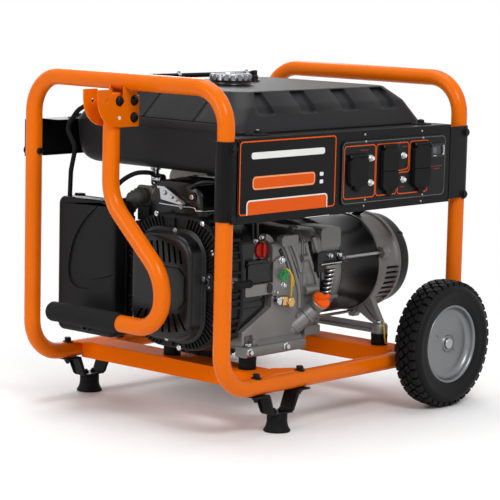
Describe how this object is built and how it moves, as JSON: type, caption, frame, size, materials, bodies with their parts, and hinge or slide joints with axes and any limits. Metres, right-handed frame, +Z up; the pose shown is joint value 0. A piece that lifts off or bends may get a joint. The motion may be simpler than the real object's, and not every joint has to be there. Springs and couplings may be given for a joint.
{
  "type": "portable generator",
  "caption": "Open-frame portable petrol generator with orange tube frame, two wheels and a folding lift handle.",
  "frame": {"origin": "on the ground under the middle of the whole outline", "axes": "+X from the folding handle to the wheels, -Y out of the control panel, +Z up"},
  "size_m": [0.7776, 0.676, 0.6469],
  "materials": {
    "orange_paint": "gloss",
    "black_paint": "satin",
    "panel_black": "satin",
    "silver_paint": "satin",
    "tank_black": "stippled",
    "black_plastic": "moulded",
    "rubber": "matte",
    "foam_grip": "matte",
    "tyre": "matte",
    "cast_alloy": "cast",
    "steel": "brushed",
    "chrome": "polished",
    "brass": "satin",
    "red_plastic": "moulded",
    "orange_plastic": "moulded",
    "white_print": "printed",
    "green_wire": "moulded",
    "yellow_wire": "moulded"
  },
  "bodies": {
    "root": {"near_hoop": "orange_paint", "far_hoop": "orange_paint", "front_rail": "orange_paint", "rear_rail": "orange_paint", "near_crossbar": "orange_paint", "far_crossbar": "orange_paint", "front_foot_bracket": "black_paint", "rear_foot_bracket": "black_paint", "front_foot": "rubber", "rear_foot": "rubber", "handle_bracket": "orange_paint", "control_panel": "black_paint", "outlet_plate": "panel_black", "hour_meter": "panel_black", "tank_upper": "tank_black", "tank_lower": "tank_black", "vent_hose": "rubber", "rear_tank_support": "black_paint", "engine_front_mount": "rubber", "engine_rear_mount": "rubber", "alternator_front_mount": "rubber", "alternator_rear_mount": "rubber", "crankcase": "cast_alloy", "crankcase_cover": "cast_alloy", "cylinder": "cast_alloy", "rocker_cover": "black_paint", "blower_housing": "black_plastic", "recoil_cover": "black_plastic", "alternator_adapter": "cast_alloy", "stator": "black_paint", "end_bell": "cast_alloy", "end_cover": "black_plastic", "muffler": "steel", "air_box_cover": "black_plastic", "air_box_base": "black_plastic", "carburettor": "cast_alloy", "governor_spring": "chrome"},
    "handle": {"handle_tube": "orange_paint", "handle_grip": "foam_grip"},
    "front_wheel": {"front_rim": "silver_paint", "front_tyre": "tyre"},
    "rear_wheel": {"rear_rim": "silver_paint", "rear_tyre": "tyre"},
    "locking_cover": {"locking_outlet_cover": "rubber"},
    "left_cover": {"left_duplex_cover": "rubber"},
    "right_cover": {"right_duplex_cover": "rubber"},
    "breaker_1": {"breaker_button_1": "chrome"},
    "breaker_2": {"breaker_button_2": "chrome"},
    "breaker_3": {"breaker_button_3": "chrome"},
    "breaker_4": {"breaker_button_4": "chrome"},
    "cap": {"fuel_cap": "chrome"},
    "fuel_lever": {"fuel_valve_lever": "black_plastic"},
    "choke": {"choke_lever": "steel"},
    "switch": {"engine_switch": "red_plastic"},
    "oil_dipstick": {"dipstick": "orange_plastic"},
    "box_knob": {"air_box_knob": "black_plastic"},
    "starter_grip": {"recoil_grip": "rubber"},
    "crank_set": {"crankshaft": "steel", "flywheel": "cast_alloy", "rotor": "steel"}
  },
  "joints": [
    {"name": "handle_fold", "type": "hinge", "parent": "root", "child": "handle", "pos_m": [-0.33528, 0.009, 0.597], "axis": [0, 1, 0], "range_deg": [0, 90]},
    {"name": "front_wheel_spin", "type": "hinge", "parent": "root", "child": "front_wheel", "pos_m": [0.26222, -0.309, 0.124], "axis": [0, 1, 0], "continuous": true},
    {"name": "rear_wheel_spin", "type": "hinge", "parent": "root", "child": "rear_wheel", "pos_m": [0.26222, 0.309, 0.124], "axis": [0, 1, 0], "continuous": true},
    {"name": "locking_cover_lift", "type": "hinge", "parent": "root", "child": "locking_cover", "pos_m": [0.03022, -0.27508, 0.4982], "axis": [-1, 0, 0], "range_deg": [0, 120]},
    {"name": "left_cover_lift", "type": "hinge", "parent": "root", "child": "left_cover", "pos_m": [0.12422, -0.27508, 0.5122], "axis": [-1, 0, 0], "range_deg": [0, 120]},
    {"name": "right_cover_lift", "type": "hinge", "parent": "root", "child": "right_cover", "pos_m": [0.22222, -0.27508, 0.5122], "axis": [-1, 0, 0], "range_deg": [0, 120]},
    {"name": "breaker_1_press", "type": "slide", "parent": "root", "child": "breaker_1", "axis": [0, 1, 0], "range_m": [0, 0.003], "stiffness_N_per_m": 300},
    {"name": "breaker_2_press", "type": "slide", "parent": "root", "child": "breaker_2", "axis": [0, 1, 0], "range_m": [0, 0.003], "stiffness_N_per_m": 300},
    {"name": "breaker_3_press", "type": "slide", "parent": "root", "child": "breaker_3", "axis": [0, 1, 0], "range_m": [0, 0.003], "stiffness_N_per_m": 300},
    {"name": "breaker_4_press", "type": "slide", "parent": "root", "child": "breaker_4", "axis": [0, 1, 0], "range_m": [0, 0.003], "stiffness_N_per_m": 300},
    {"name": "cap_turn", "type": "hinge", "parent": "root", "child": "cap", "pos_m": [-0.02778, 0, 0.64], "axis": [0, 0, 1], "range_deg": [0, 270]},
    {"name": "fuel_lever_turn", "type": "hinge", "parent": "root", "child": "fuel_lever", "pos_m": [-0.18278, 0.028, 0.442], "axis": [0, -1, 0], "range_deg": [0, 90]},
    {"name": "choke_turn", "type": "hinge", "parent": "root", "child": "choke", "pos_m": [-0.17378, 0.041, 0.408], "axis": [0, 1, 0], "range_deg": [0, 60]},
    {"name": "switch_turn", "type": "hinge", "parent": "root", "child": "switch", "pos_m": [-0.11178, -0.166, 0.322], "axis": [0, 1, 0], "range_deg": [0, 60]},
    {"name": "dipstick_turn", "type": "hinge", "parent": "root", "child": "oil_dipstick", "pos_m": [0.01422, -0.172, 0.186], "axis": [0, -0.7071, 0.7071], "range_deg": [0, 350]},
    {"name": "box_knob_turn", "type": "hinge", "parent": "root", "child": "box_knob", "pos_m": [-0.29278, 0.119, 0.166], "axis": [1, 0, 0], "continuous": true},
    {"name": "starter_pull", "type": "slide", "parent": "root", "child": "starter_grip", "axis": [0, -1, 0], "range_m": [0, 0.5], "stiffness_N_per_m": 40},
    {"name": "crank_turn", "type": "hinge", "parent": "root", "child": "crank_set", "pos_m": [0.03222, -0.08, 0.262], "axis": [1, 0, 0], "continuous": true}
  ]
}
